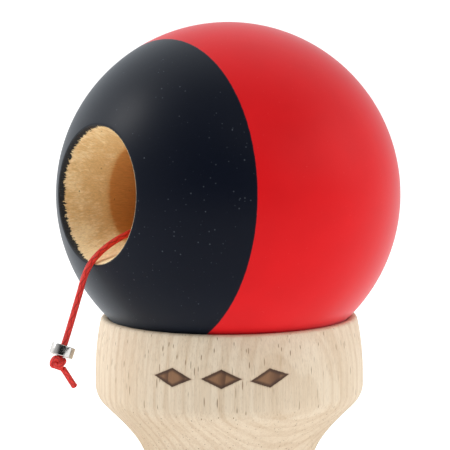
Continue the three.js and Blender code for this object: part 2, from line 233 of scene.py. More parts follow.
def new_object(name: str, bm: bmesh.types.BMesh) -> bpy.types.Object:
    """Makes an object of a finished bmesh, smooth where its faces meet at a small angle.

    Args:
        name: The object's name.
        bm: The mesh, which is freed.

    Returns:
        The object, at the origin.
    """
    mesh = bpy.data.meshes.new(name)
    bm.to_mesh(mesh)
    bm.free()
    piece = bpy.data.objects.new(name, mesh)
    bpy.context.scene.collection.objects.link(piece)
    soften(piece)
    return piece


def soften(piece: bpy.types.Object, degrees: float = 35) -> None:
    """Shades a piece smooth and keeps its real edges sharp."""
    piece.data.shade_smooth()
    piece.data.set_sharp_from_angle(angle=math.radians(degrees))


def turned(name: str, spindle: Spindle, outline: Outline, segments: int) -> bpy.types.Object:
    """Turns an outline into a closed solid.

    Args:
        name: The object's name.
        spindle: The lathe's axis.
        outline: It starts and ends on the axis, or is closed.
        segments: How many steps once round.

    Returns:
        The object.
    """
    bm = bmesh.new()
    verts = [bm.verts.new(spindle.at(r, h)) for r, h in outline.points]
    edges = [bm.edges.new(pair) for pair in zip(verts, verts[1:])]
    if outline.closed:
        edges.append(bm.edges.new((verts[-1], verts[0])))
    bmesh.ops.spin(
        bm,
        geom=verts + edges,
        cent=spindle.origin,
        axis=spindle.along,
        angle=math.tau,
        steps=segments,
        use_merge=True,
        use_duplicate=False,
    )
    bmesh.ops.remove_doubles(bm, verts=bm.verts, dist=1e-7)
    bmesh.ops.recalc_face_normals(bm, faces=bm.faces)
    return new_object(name, bm)


def carve(piece: bpy.types.Object, tools: Iterable[bpy.types.Object]) -> None:
    """Cuts tools out of a piece and removes them.

    Args:
        piece: The solid to cut.
        tools: Closed solids.
    """
    used = list(tools)
    for tool in used:
        cut = piece.modifiers.new("cut", "BOOLEAN")
        cut.object = tool
        cut.operation = "DIFFERENCE"
        cut.solver = "EXACT"
    bpy.context.view_layer.update()
    shaped = piece.evaluated_get(bpy.context.evaluated_depsgraph_get())
    mesh = bpy.data.meshes.new_from_object(shaped)
    piece.modifiers.clear()
    old = piece.data
    piece.data = mesh
    bpy.data.meshes.remove(old)
    for tool in used:
        bpy.data.objects.remove(tool)
    bm = bmesh.new()
    bm.from_mesh(mesh)
    bmesh.ops.dissolve_degenerate(bm, dist=WELD, edges=bm.edges)
    bmesh.ops.remove_doubles(bm, verts=bm.verts, dist=WELD)
    bm.to_mesh(mesh)
    bm.free()
    soften(piece)


def smooth_line(points: Sequence[Vector], step: float) -> list[Vector]:
    """Runs an even line through given points.

    Args:
        points: The route, in metres.
        step: The distance between the points of the new line, in metres.

    Returns:
        The line.
    """
    route = [points[0] * 2 - points[1], *points, points[-1] * 2 - points[-2]]
    fine: list[Vector] = []
    for p0, p1, p2, p3 in zip(route, route[1:], route[2:], route[3:]):
        knots = [0.0]
        for a, b in ((p0, p1), (p1, p2), (p2, p3)):
            knots.append(knots[-1] + max((b - a).length, 1e-9) ** 0.5)
        t0, t1, t2, t3 = knots
        for i in range(12):
            t = t1 + (t2 - t1) * i / 12
            a1 = p0.lerp(p1, (t - t0) / (t1 - t0))
            a2 = p1.lerp(p2, (t - t1) / (t2 - t1))
            a3 = p2.lerp(p3, (t - t2) / (t3 - t2))
            b1 = a1.lerp(a2, (t - t0) / (t2 - t0))
            b2 = a2.lerp(a3, (t - t1) / (t3 - t1))
            fine.append(b1.lerp(b2, (t - t1) / (t2 - t1)))
    fine.append(points[-1].copy())
    even = [fine[0]]
    travelled = 0.0
    due = step
    for a, b in zip(fine, fine[1:]):
        span = (b - a).length
        while due <= travelled + span:
            even.append(a.lerp(b, (due - travelled) / span))
            due += step
        travelled += span
    if (even[-1] - fine[-1]).length > step * 0.3:
        even.append(fine[-1])
    return even


def line_length(line: Sequence[Vector]) -> float:
    """How long a line is."""
    return sum((b - a).length for a, b in zip(line, line[1:]))


@dataclass(frozen=True)
class Tube:
    """A braided tube along a line, with UVs that count round it and along it in circumferences."""

    radius: float = STRING_RADIUS  # mm
    sides: int = 16
    end_flare: float = 1.0  # the last ring's size, as where a cut end is melted
    joint: float = 0.1  # how far the UVs run on where a looped tube closes, in circumferences
    dome: tuple[Point, ...] = ((0.42, 0.35), (0.3, 0.75))  # how far out each end ring is and how wide

    def build(self, name: str, lines: Sequence[Sequence[Vector]], looped: bool = False) -> bpy.types.Object:
        """Makes one mesh of tubes along lines.

        Args:
            name: The object's name.
            lines: Each is a line in metres.
            looped: True where each line runs back into its start.

        Returns:
            The object.
        """
        bm = bmesh.new()
        uv = bm.loops.layers.uv.new("UVMap")
        for line in lines:
            self._add(bm, uv, line, looped)
        bmesh.ops.recalc_face_normals(bm, faces=bm.faces)
        return new_object(name, bm)

    def _rings(self, line: Sequence[Vector]) -> list[tuple[Vector, Vector, float]]:
        """The rings of an open tube, domed at both ends.

        Args:
            line: The centreline.

        Returns:
            Centre, direction and radius of each ring, in metres.
        """
        r = self.radius * MM
        out = [(b - a).normalized() for a, b in zip(line, line[1:])]
        ways = [out[0], *((a + b).normalized() for a, b in zip(out, out[1:])), out[-1]]
        rings = [(p, w, r) for p, w in zip(line, ways)]
        rings[-1] = (rings[-1][0], rings[-1][1], r * self.end_flare)
        (first, way_in, wide_in), (last, way_out, wide_out) = rings[0], rings[-1]
        head = [(first - way_in * r * far, way_in, wide_in * wide) for far, wide in self.dome]
        tail = [(last + way_out * r * far, way_out, wide_out * wide) for far, wide in reversed(self.dome)]
        return [*head, *rings, *tail]

    def _add(
        self, bm: bmesh.types.BMesh, uv: bmesh.types.BMLayerItem, line: Sequence[Vector], looped: bool
    ) -> None:
        """Adds one tube.

        Args:
            bm: The mesh.
            uv: Its UV layer.
            line: The centreline.
            looped: True where it runs back into its start.
        """
        rings = self._rings(line)
        if looped:
            rings = rings[2:-2]
        side = rings[0][1].orthogonal().normalized()
        made = []
        travelled = 0.0
        for i, (centre, way, radius) in enumerate(rings):
            if i:
                side = rings[i - 1][1].rotation_difference(way) @ side
                travelled += (centre - rings[i - 1][0]).length
            side = (side - way * side.dot(way)).normalized()
            across = way.cross(side)
            turns = [math.tau * j / self.sides for j in range(self.sides)]
            spokes = [side * math.cos(turn) + across * math.sin(turn) for turn in turns]
            verts = [bm.verts.new(centre + spoke * radius) for spoke in spokes]
            made.append((verts, travelled / (math.tau * self.radius * MM)))
        if looped:
            made.append((self._matched(made[-1][0], made[0][0]), made[-1][1] + self.joint))
        for (low, v0), (high, v1) in zip(made, made[1:]):
            for j in range(self.sides):
                k = (j + 1) % self.sides
                face = bm.faces.new((low[j], low[k], high[k], high[j]))
                corners = ((j, v0), (j + 1, v0), (j + 1, v1), (j, v1))
                for loop, (u, v) in zip(face.loops, corners):
                    loop[uv].uv = (u / self.sides, v)
        caps = [] if looped else [(made[0][0][::-1], made[0][1]), made[-1]]
        for verts, v in caps:
            for loop in bm.faces.new(verts).loops:
                loop[uv].uv = (0.5, v)

    def _matched(
        self, ends: list[bmesh.types.BMVert], starts: list[bmesh.types.BMVert]
    ) -> list[bmesh.types.BMVert]:
        """A looped tube's first ring, counted from the corner that is nearest to its last ring's first."""
        shift = min(range(self.sides), key=lambda s: (ends[0].co - starts[s].co).length)
        return starts[shift:] + starts[:shift]


# ---------------------------------------------------------------- shaders


class Value:
    """A number in a shader, with arithmetic that makes the nodes."""

    def __init__(self, shader: "Shader", socket: bpy.types.NodeSocket) -> None:
        """Holds an output."""
        self.shader = shader
        self.socket = socket

    def __add__(self, other: "Value | float") -> "Value":
        """The sum."""
        return self.shader.math("ADD", self, other)

    def __radd__(self, other: "Value | float") -> "Value":
        """The sum."""
        return self.shader.math("ADD", other, self)

    def __sub__(self, other: "Value | float") -> "Value":
        """The difference."""
        return self.shader.math("SUBTRACT", self, other)

    def __rsub__(self, other: "Value | float") -> "Value":
        """The difference."""
        return self.shader.math("SUBTRACT", other, self)

    def __mul__(self, other: "Value | float") -> "Value":
        """The product."""
        return self.shader.math("MULTIPLY", self, other)

    def __rmul__(self, other: "Value | float") -> "Value":
        """The product."""
        return self.shader.math("MULTIPLY", other, self)

    def __truediv__(self, other: "Value | float") -> "Value":
        """The quotient."""
        return self.shader.math("DIVIDE", self, other)

    def __abs__(self) -> "Value":
        """The size without its sign."""
        return self.shader.math("ABSOLUTE", self)


class Triple(Value):
    """A vector in a shader."""

    def __add__(self, other: "Triple | Place") -> "Triple":
        """The sum."""
        return self.shader.vector("ADD", self, other)

    def __sub__(self, other: "Triple | Place") -> "Triple":
        """The difference."""
        return self.shader.vector("SUBTRACT", self, other)

    def __mul__(self, other: "float | Triple | Place") -> "Triple":
        """Scales by a number, or part by part by a vector.

        Args:
            other: The number or the vector.

        Returns:
            The product.
        """
        if isinstance(other, (int, float)):
            other = (other, other, other)
        return self.shader.vector("MULTIPLY", self, other)

    def dot(self, other: "Triple | Place") -> Value:
        """The dot product."""
        return self.shader.vector("DOT_PRODUCT", self, other)

    def length(self) -> Value:
        """The vector's length."""
        return self.shader.vector("LENGTH", self)

    def parts(self) -> list[Value]:
        """Its three numbers."""
        node = self.shader.node("ShaderNodeSeparateXYZ", {}, {"Vector": self})
        return [Value(self.shader, out) for out in node.outputs]


class Shader:
    """A node tree being written."""

    def __init__(self, tree: bpy.types.NodeTree) -> None:
        """Empties the tree."""
        self.tree = tree
        tree.nodes.clear()

    def node(
        self, kind: str, settings: dict[str, object], values: dict[str | int, object]
    ) -> bpy.types.Node:
        """Adds a node.

        Args:
            kind: Its type.
            settings: Its own properties.
            values: What goes into its inputs, by name or number.

        Returns:
            The node.
        """
        made = self.tree.nodes.new(kind)
        for name, setting in settings.items():
            setattr(made, name, setting)
        for key, value in values.items():
            if isinstance(value, Value):
                self.tree.links.new(value.socket, made.inputs[key])
            elif isinstance(value, bpy.types.NodeSocket):
                self.tree.links.new(value, made.inputs[key])
            else:
                made.inputs[key].default_value = value
        return made

    def math(self, operation: str, *terms: "Value | float") -> Value:
        """A Math node."""
        node = self.node("ShaderNodeMath", {"operation": operation}, dict(enumerate(terms)))
        return Value(self, node.outputs[0])

    def vector(self, operation: str, *terms: "Value | Place") -> Value:
        """A Vector Math node.

        Args:
            operation: Its operation.
            terms: What goes in.

        Returns:
            The result, a number for a dot product or a length.
        """
        node = self.node("ShaderNodeVectorMath", {"operation": operation}, dict(enumerate(terms)))
        if operation in ("DOT_PRODUCT", "LENGTH"):
            return Value(self, node.outputs["Value"])
        return Triple(self, node.outputs["Vector"])

    def combine(self, x: "Value | float", y: "Value | float", z: "Value | float") -> Triple:
        """Makes a vector of three numbers."""
        return Triple(self, self.node("ShaderNodeCombineXYZ", {}, {"X": x, "Y": y, "Z": z}).outputs[0])

    def place(self) -> Triple:
        """Where the shaded point is on the resting object."""
        return Triple(self, self.node("ShaderNodeTexCoord", {}, {}).outputs["Object"]) * 1000

    def unwrapped(self) -> list[Value]:
        """Where the shaded point is on the unwrapped mesh."""
        return Triple(self, self.node("ShaderNodeUVMap", {"uv_map": "UVMap"}, {}).outputs["UV"]).parts()

    def rise(self, value: Value, low: float, high: float, start: float = 0.0, end: float = 1.0) -> Value:
        """Turns smoothly from one number to another.

        Args:
            value: What it follows.
            low: Where the turn starts.
            high: Where it ends.
            start: The number before it.
            end: The number after it.

        Returns:
            The number.
        """
        settings = {"interpolation_type": "SMOOTHSTEP"}
        values = {"Value": value, "From Min": low, "From Max": high, "To Min": start, "To Max": end}
        return Value(self, self.node("ShaderNodeMapRange", settings, values).outputs["Result"])

    def noise(self, place: Triple, scale: float, detail: float = 2.0, roughness: float = 0.5) -> Value:
        """Cloudy noise about 0.5."""
        values = {"Vector": place, "Scale": scale, "Detail": detail, "Roughness": roughness}
        return Value(self, self.node("ShaderNodeTexNoise", {}, values).outputs[0])

    def spots(self, place: Triple, scale: float) -> tuple[Value, Value]:
        """Scattered centres.

        Args:
            place: Where to read them.
            scale: How many cells in one unit.

        Returns:
            The distance to the nearest centre, in cells, and that centre's own random number.
        """
        node = self.node("ShaderNodeTexVoronoi", {}, {"Vector": place, "Scale": scale})
        own = Triple(self, node.outputs["Color"]).parts()[0]
        return Value(self, node.outputs["Distance"]), own

    def mix(self, share: "Value | float", first: "Value | Colour", second: "Value | Colour") -> Value:
        """Mixes two colours."""
        node = self.node("ShaderNodeMix", {"data_type": "RGBA"}, {0: share, 6: first, 7: second})
        return Value(self, node.outputs[2])

    def shade(self, colour: "Value | Place", amount: "Value | float") -> Value:
        """Makes a colour lighter or darker, where 1 leaves it as it is."""
        node = self.node("ShaderNodeVectorMath", {"operation": "SCALE"}, {0: colour, "Scale": amount})
        return Value(self, node.outputs["Vector"])


@dataclass(frozen=True)
class Surface:
    """What a finish hands to the Principled shader."""

    colour: "Value | Colour"
    roughness: "Value | float"
    height: Value | None = None  # mm of relief
    metallic: float = 0.0
    specular: float = 0.5
    glow: float = 0.0
    sheen: float = 0.0

    def write(self, name: str, shader: Shader) -> None:
        """Ends a material's tree.

        Args:
            name: Its label.
            shader: The tree.
        """
        values = {
            "Base Color": self.colour,
            "Roughness": self.roughness,
            "Metallic": self.metallic,
            "Specular IOR Level": self.specular,
            "Emission Strength": self.glow,
            "Sheen Weight": self.sheen,
            "Sheen Roughness": SHEEN_ROUGHNESS,
            "Sheen Tint": SHEEN_TINT,
        }
        if self.height is not None:
            relief = {"Height": self.height, "Distance": MM, "Strength": 1.0}
            bump = shader.node("ShaderNodeBump", {}, relief)
            values["Normal"] = bump.outputs["Normal"]
        principled = shader.node("ShaderNodeBsdfPrincipled", {"label": name}, values)
        shader.node("ShaderNodeOutputMaterial", {}, {"Surface": principled.outputs[0]})


class Finish:
    """A material that a small frozen class of settings makes."""

    name: str

    def surface(self, shader: Shader) -> Surface:
        """Works out the surface."""
        raise NotImplementedError

    def material(self) -> bpy.types.Material:
        """Makes the material.

        Returns:
            The material.
        """
        made = bpy.data.materials.new(self.name)
        made.use_nodes = True
        shader = Shader(made.node_tree)
        self.surface(shader).write(self.name, shader)
        return made


class Grain(Enum):
    """Which way a piece's wood fibres run."""

    UP = "up"
    ALONG = "along"


@dataclass(frozen=True)
class Marks:
    """A row of burnt lozenges round the big cup's band."""

    height: float = 62.9  # mm above the floor
    radius: float = 23.4  # mm, the band's
    places: tuple[float, ...] = (-9.7, -1.35, 6.75)  # mm round the band from its front
    leans: tuple[float, ...] = (-0.04, 0.0, 0.12)
    half_width: float = 3.35  # mm
    half_height: float = 1.6
    skin: Point = (0.9, 1.2)  # mm inside the band, where the marks stop

    def reach(self, shader: Shader, place: Triple) -> Value:
        """How far a point is out from the nearest lozenge's middle, 1 on its edge.

        Args:
            shader: The tree.
            place: The point, in mm.

        Returns:
            The reach.
        """
        x, y, z = place.parts()
        turn = shader.math("ARCTAN2", x - CROSS_X, y * -1)
        round_band = turn * self.radius
        reaches = []
        for middle, lean in zip(self.places, self.leans):
            across = round_band - middle
            up = z - self.height - across * lean
            reaches.append(abs(across) / self.half_width + abs(up) / self.half_height)
        nearest = reaches[0]
        for reach in reaches[1:]:
            nearest = shader.math("MINIMUM", nearest, reach)
        from_axis = shader.combine(x - CROSS_X, y, 0.0).length()
        near, far = (self.radius - depth for depth in self.skin)
        inside_bowl = shader.rise(from_axis, far, near, 4.0, 0.0)
        return nearest + inside_bowl


@dataclass(frozen=True)
class Beech(Finish):
    """Bare sanded beech: growth rings, dark flecks along the fibres and a fine fibrous relief."""

    name: str
    grain: Grain
    pith: Point  # mm, where the rings' middle is across the fibres
    lean: float = 0.03  # how far the rings lean along the fibres
    ring: float = 1.75  # mm from ring to ring
    pale: Colour = linear(227, 211, 187)
    deep: Colour = linear(196, 168, 134)
    fleck: Colour = linear(132, 98, 62)
    scorch: Colour = linear(176, 140, 104)
    burnt: Colour = linear(136, 98, 66)
    burnt_ray: Colour = linear(96, 62, 38)
    charred: Colour = linear(58, 33, 18)
    marks: Marks | None = None

    def surface(self, shader: Shader) -> Surface:
        """Works out the wood.

        Args:
            shader: The tree.

        Returns:
            The surface.
        """
        place = shader.place()
        x, y, z = place.parts()
        a, b, g = (x, y, z) if self.grain is Grain.UP else (z, y, x)
        slow = shader.noise(shader.combine(a, b, g * 0.3), 0.07, 2)
        across = shader.combine(a - self.pith[0], b - self.pith[1], 0.0)
        rings = (across.length() + g * self.lean + slow * 4) / self.ring
        rays = (a * 0.62 - b * 0.78 + slow * 3) / (self.ring * 1.35)
        late = self._line(shader, rings)
        ray = self._line(shader, rays)
        fibre = shader.noise(shader.combine(a * 7, b * 7, g * 0.42), 1.0, 3, 0.6)
        patch = shader.noise(shader.combine(a, b, g * 0.4), 0.16, 2)
        long_cells = shader.combine(a, b, g * 0.11)
        far, own = shader.spots(long_cells + (3.1, 1.7, 0.4), 1.9)
        fleck = shader.rise(far + own * 0.12, 0.18, 0.3, 1.0, 0.0) * shader.rise(own, 0.15, 0.55)
        tiny, _ = shader.spots(shader.combine(a, b, g * 0.16), 5.5)
        pore = shader.rise(tiny, 0.16, 0.34, 1.0, 0.0)
        long_streaks = shader.noise(shader.combine(a * 2.6, b * 2.6, g * 0.05), 1.0, 4, 0.65)
        streak = shader.rise(long_streaks, 0.42, 0.68)
        colour = shader.mix(late * 0.24 + ray * 0.22 + streak * 0.28, self.pale, self.deep)
        colour = shader.mix(shader.rise(patch, 0.35, 0.75) * 0.22, colour, self.deep)
        colour = shader.mix(fleck * 0.8 + pore * 0.16, colour, self.fleck)
        colour = shader.shade(colour, 0.86 + fibre * 0.28)
        height = fibre * 0.035 - fleck * 0.03 - pore * 0.012 - late * 0.01
        roughness = 0.56 + fibre * 0.14
        if self.marks:
            out = self.marks.reach(shader, place) + (fibre - 0.5) * 0.16
            burn = shader.rise(out, 0.94, 1.04, 1.0, 0.0)
            rim = burn * shader.rise(out, 0.5, 0.86)
            glow = shader.rise(out, 0.98, 1.25, 1.0, 0.0)
            floor = shader.shade(shader.mix(ray, self.burnt, self.burnt_ray), 0.75 + fibre * 0.5)
            colour = shader.mix(glow * 0.35, colour, self.scorch)
            colour = shader.mix(burn, colour, floor)
            colour = shader.mix(rim * 0.85, colour, self.charred)
            height = height - burn * 0.16
        return Surface(colour, roughness, height)

    @staticmethod
    def _line(shader: Shader, count: Value) -> Value:
        """A soft line that darkens slowly and ends at once, once in each ring."""
        part = shader.math("FRACT", count)
        return shader.rise(part, 0.5, 0.93) * shader.rise(part, 0.93, 1.0, 1.0, 0.0)


@dataclass(frozen=True)
class BallPaint(Finish):
    """Satin paint: navy on the bore's side of a sharp edge, red beyond it."""

    name: str = "ball_paint"
    edge: float = 14.25  # mm from the centre towards the bore
    navy: Colour = linear(8, 13, 26)
    red: Colour = linear(213, 20, 25)
    worn_navy: Colour = linear(112, 120, 130)
    worn_red: Colour = linear(236, 120, 118)
    specular: float = 0.075
    sheen: float = 0.19

    def surface(self, shader: Shader) -> Surface:
        """Works out the paint.

        Args:
            shader: The tree.

        Returns:
            The surface.
        """
        out = shader.place() - (CROSS_X, 0.0, BALL_Z)
        along = out.dot(tuple(bore_axis()))
        wander = shader.noise(out, 1.1, 3) * 0.12
        navy = shader.rise(along + wander, self.edge - 0.02, self.edge + 0.14)
        cloud = shader.noise(out, 0.12, 3)
        grain = shader.noise(out, 3.2, 3, 0.6)
        far, own = shader.spots(out, 0.42)
        speck = shader.rise(far + own * 0.05, 0.035, 0.075, 1.0, 0.0) * shader.rise(own, 0.1, 0.3)
        near, fine = shader.spots(out + (7.0, 3.0, 1.0), 1.05)
        dust = shader.rise(near + fine * 0.1, 0.07, 0.19, 1.0, 0.0) * shader.rise(cloud, 0.36, 0.58)
        scuff = shader.rise(shader.noise(out * (0.9, 0.25, 1.6), 1.6, 4, 0.7), 0.66, 0.8)
        colour = shader.mix(navy, self.red, self.navy)
        colour = shader.shade(colour, 0.9 + cloud * 0.2)
        worn = (speck * 0.55 + dust * 0.32 + scuff * 0.1) * (0.3 + navy * 0.7)
        colour = shader.mix(worn, colour, shader.mix(navy, self.worn_red, self.worn_navy))
        roughness = 0.33 + grain * 0.05 + cloud * 0.06 + worn * 0.2
        height = grain * 0.0012 + speck * 0.006 + navy * 0.02 + cloud * 0.006
        return Surface(colour, roughness, height, specular=self.specular, sheen=self.sheen)


@dataclass(frozen=True)
class BoreWood(Finish):
    """The ball's bare inside: a fibrous cone with a ragged black edge and painted light that makes the
    cone's lower side paler, then a darker, smoother bore.
    """

    name: str = "bore_wood"
    mouth: float = 27.666  # mm from the centre to the mouth's plane
    cone_depth: float = 8.3
    pale: Colour = linear(246, 222, 174)
    tan: Colour = linear(219, 180, 118)
    bore: Colour = linear(212, 150, 80)
    split: Colour = linear(84, 58, 34)
    ink: Colour = linear(9, 11, 15)
    rubbed_ink: Colour = linear(92, 96, 100)

    def surface(self, shader: Shader) -> Surface:
        """Works out the bare wood.

        Args:
            shader: The tree.

        Returns:
            The surface.
        """
        axis = bore_axis()
        left = Vector((0, 0, 1)).cross(axis).normalized() * -1
        up = left.cross(axis)
        out = shader.place() - (CROSS_X, 0.0, BALL_Z)
        along = out.dot(tuple(axis))
        depth = self.mouth - along
        across = out.dot(tuple(left))
        rise = out.dot(tuple(up))
        around = shader.math("ARCTAN2", rise, across)
        fibre = shader.noise(shader.combine(across * 5.5, rise * 5.5, along * 0.8), 1.0, 4, 0.65)
        fuzz = shader.noise(shader.combine(across * 2.4, rise * 2.4, along * 0.5), 1.0, 3, 0.6)
        blotch = shader.noise(out, 0.35, 2)
        deep = shader.rise(depth + fuzz * 1.2, self.cone_depth - 0.2, self.cone_depth + 1.2)
        # painted light: the cone's lower side, which faces up, is made paler as where light from above
        # falls on it; the blotch and fuzz terms are the wood's own uneven tan
        low = shader.rise(rise, -3.0, -9.5)
        tan_and_painted_light = shader.rise(blotch * 0.45 + fuzz * 0.45 + depth * 0.02 - low * 0.12, 0.34, 0.6)
        colour = shader.mix(tan_and_painted_light * 0.85, self.pale, self.tan)
        colour = shader.mix(deep * 0.9, colour, self.bore)
        colour = shader.shade(colour, 0.62 + fibre * 0.76)
        far, own = shader.spots(shader.combine(across, rise, along * 2.2), 0.5)
        crack = shader.rise(far + own * 0.1, 0.05, 0.13, 1.0, 0.0)
        colour = shader.mix(crack * 0.75, colour, self.split)
        width = shader.rise(shader.math("COSINE", around - 0.15), -0.25, 0.6, 0.12, 1.0)
        ragged = (fuzz - 0.5) * 1.5 + (fibre - 0.5) * 1.5
        over = shader.rise(depth - width * (0.95 + ragged), -0.08, 0.12, 1.0, 0.0)
        ink = shader.mix(shader.rise(fibre, 0.5, 0.72) * 0.35, self.ink, self.rubbed_ink)
        colour = shader.mix(over, colour, ink)
        height = fibre * 0.07 * (1.1 - deep * 0.85) + fuzz * 0.05 - crack * 0.1
        return Surface(colour, 0.66 + fibre * 0.16 - deep * 0.12, height)


@dataclass(frozen=True)
class Braid(Finish):
    """Red braided string: strands that pass over and under each other, with a slight fuzz and painted shade
    in the grooves between strands and between their threads.
    """

    name: str = "braid"
    strands: int = 5
    pitch: float = 1.6  # strands in one circumference along the string
    light: Colour = linear(232, 44, 34)
    # painted shade: the darker red of the grooves where one strand dips under the next
    groove_shade_red: Colour = linear(168, 14, 12)
    fluff: Colour = linear(244, 128, 108)

    def surface(self, shader: Shader) -> Surface:
        """Works out the braid.

        Args:
            shader: The tree.

        Returns:
            The surface.
        """
        u, v, _ = shader.unwrapped()
        one = u * self.strands + v * self.pitch
        two = u * self.strands - v * self.pitch
        over = shader.math("FLOORED_MODULO", shader.math("FLOOR", one) + shader.math("FLOOR", two), 2.0)
        first = shader.math("SINE", shader.math("FRACT", one) * math.pi)
        second = shader.math("SINE", shader.math("FRACT", two) * math.pi)
        strand = first * over + second * (1.0 - over)
        place = shader.place()
        fuzz = shader.noise(place, 9.0, 3, 0.7)
        threads = shader.math("SINE", (one * over + two * (1.0 - over)) * math.tau * 3) * 0.5 + 0.5
        # painted shade: each strand is coloured darker towards its edges, in the grooves between strands,
        # and keeps the plain red on its crown
        depth = shader.rise(strand, 0.05, 0.8)
        colour = shader.mix(depth * 0.85 + fuzz * 0.15, self.groove_shade_red, self.light)
        colour = shader.mix(shader.rise(fuzz, 0.56, 0.74) * 0.3, colour, self.fluff)
        # painted shade: darker in the fine grooves between threads; the fuzz term is the string's own
        # uneven tone
        colour = shader.shade(colour, 0.88 + threads * 0.12 + fuzz * 0.1)
        height = depth * 0.09 + threads * 0.012 + fuzz * 0.03
        return Surface(colour, 0.5 + fuzz * 0.2, height)


@dataclass(frozen=True)
class Steel(Finish):
    """Polished bearing steel with faint turning lines and a few smudges."""

    name: str
    centre: Place  # mm
    axis: Place
    tint: Place = (0.6, 0.59, 0.575)
    roughness: float = 0.1

    def surface(self, shader: Shader) -> Surface:
        """Works out the metal.

        Args:
            shader: The tree.

        Returns:
            The surface.
        """
        out = shader.place() - self.centre
        along = out.dot(self.axis)
        radius = (out - shader.vector("MULTIPLY", self.axis, shader.combine(along, along, along))).length()
        lines = shader.noise(shader.combine(radius * 14, along * 14, 0.0), 1.0, 3, 0.7)
        smudge = shader.noise(out, 1.4, 3)
        colour = shader.shade(self.tint, 0.86 + smudge * 0.22)
        rough = self.roughness + shader.rise(smudge, 0.45, 0.75) * 0.12 + lines * 0.06
        return Surface(colour, rough, lines * 0.006, metallic=1.0)


@dataclass(frozen=True)
class PaleFloor(Finish):
    """A plain pale studio floor with a barely uneven tone."""

    name: str = "pale_floor"
    tone: float = 0.9
    roughness: float = 0.75
    specular: float = 0.2
    glow: float = 0.36

    def surface(self, shader: Shader) -> Surface:
        """Works out the floor.

        Args:
            shader: The tree.

        Returns:
            The surface.
        """
        cloud = shader.noise(shader.place(), 0.008, 3)
        value = self.tone + (cloud - 0.5) * 0.03
        colour = shader.combine(value, value, value)
        return Surface(colour, self.roughness, specular=self.specular, glow=self.glow)


# ---------------------------------------------------------------- stage


@dataclass(frozen=True)
class Studio:
    """The camera, the soft lights, the bright surroundings and the floor."""

    stand: Place = (0.013908, -0.32866, 0.120941)
    dip: float = 6.0917  # degrees that the camera looks down
    roll: float = -0.34037
    lens: float = 151.0  # mm
    sensor: float = 36.0  # mm
    floor_radius: float = 3.0  # m
    aim: Place = (0.0145, 0.0, 0.075)  # what the lamps point at
    lamps: tuple[tuple[str, Place, float, float], ...] = (  # name, place, width in m and power in W
        ("front_high", (0.25, -1.0, 1.1), 0.6, 1.0),
        ("right_front", (0.9, -0.8, 0.6), 0.8, 2.8),
        ("left_high", (-1.15, 0.1, 0.95), 0.6, 8.5),
        ("right", (1.15, -0.15, 0.55), 0.8, 3.8),
    )

    def camera(self) -> None:
        """Makes the camera."""
        data = bpy.data.cameras.new("camera")
        data.lens = self.lens
        data.sensor_width = self.sensor
        data.clip_start = 0.01
        made = bpy.data.objects.new("camera", data)
        made.location = self.stand
        turn = Euler((math.radians(90 - self.dip), 0, 0)).to_matrix()
        made.rotation_euler = (turn @ Euler((0, 0, math.radians(self.roll))).to_matrix()).to_euler()
        bpy.context.scene.collection.objects.link(made)
        bpy.context.scene.camera = made

    def surroundings(self) -> None:
        """Makes the world: white behind and above the object, darker on the camera's side."""
        world = bpy.data.worlds.new("surroundings")
        world.use_nodes = True
        shader = Shader(world.node_tree)
        way = Triple(shader, shader.node("ShaderNodeTexCoord", {}, {}).outputs["Generated"])
        x, y, z = way.parts()
        back = shader.rise(y, -0.35, 0.25, 0.02, 0.84) + shader.rise(y, 0.95, 0.985, 0.0, 0.3)
        left = shader.rise(x, -0.95, -0.25, 0.64, 0.0)
        bright = back + left + shader.rise(z, 0.4, 1.0, 0.0, 0.4)
        light = {"Color": shader.combine(bright, bright, bright), "Strength": 1.0}
        sky = shader.node("ShaderNodeBackground", {}, light)
        shader.node("ShaderNodeOutputWorld", {}, {"Surface": sky.outputs[0]})
        bpy.context.scene.world = world

    def lights(self) -> None:
        """Hangs the large soft lights."""
        for name, place, size, power in self.lamps:
            data = bpy.data.lights.new(name, "AREA")
            data.shape = "DISK"
            data.size = size
            data.energy = power
            made = bpy.data.objects.new(name, data)
            made.location = place
            made.rotation_euler = (Vector(self.aim) - Vector(place)).to_track_quat("-Z", "Y").to_euler()
            bpy.context.scene.collection.objects.link(made)

    def floor(self) -> None:
        """Lays the floor."""
        bm = bmesh.new()
        bmesh.ops.create_circle(bm, cap_ends=True, segments=96, radius=self.floor_radius)
        made = new_object("floor", bm)
        made.data.materials.append(PaleFloor().material())

    def view_transform(self) -> None:
        """Shows colours as they are."""
        bpy.context.scene.view_settings.view_transform = "Standard"


# ---------------------------------------------------------------- the object


def dress(piece: bpy.types.Object, *materials: bpy.types.Material) -> bpy.types.Object:
    """Gives a piece its materials.

    Args:
        piece: The object.
        materials: In slot order.

    Returns:
        The piece.
    """
    piece.data.materials.clear()
    for material in materials:
        piece.data.materials.append(material)
    return piece


def settle(piece: bpy.types.Object, body: str, nodes: Sequence[str]) -> bpy.types.Object:
    """Puts a finished piece on its body, in place of its CAD nodes.

    Args:
        piece: The object.
        body: The CAD body that it rides on.
        nodes: The CAD nodes that it stands for.

    Returns:
        The piece.
    """
    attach(piece, body)
    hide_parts(*nodes)
    return piece


def in_bore_plane(along: float, height: float) -> Vector:
    """A point in the upright plane through the bore."""
    x = CROSS_X * MM + along * math.cos(BORE_TURN)
    return Vector((x, along * math.sin(BORE_TURN), BALL_Z * MM + height))


def round_cross(degrees: float, radius: float, height: float) -> Vector:
    """A point round the cross-piece."""
    turn = math.radians(degrees)
    return Vector((CROSS_X * MM + radius * math.cos(turn), radius * math.sin(turn), height))


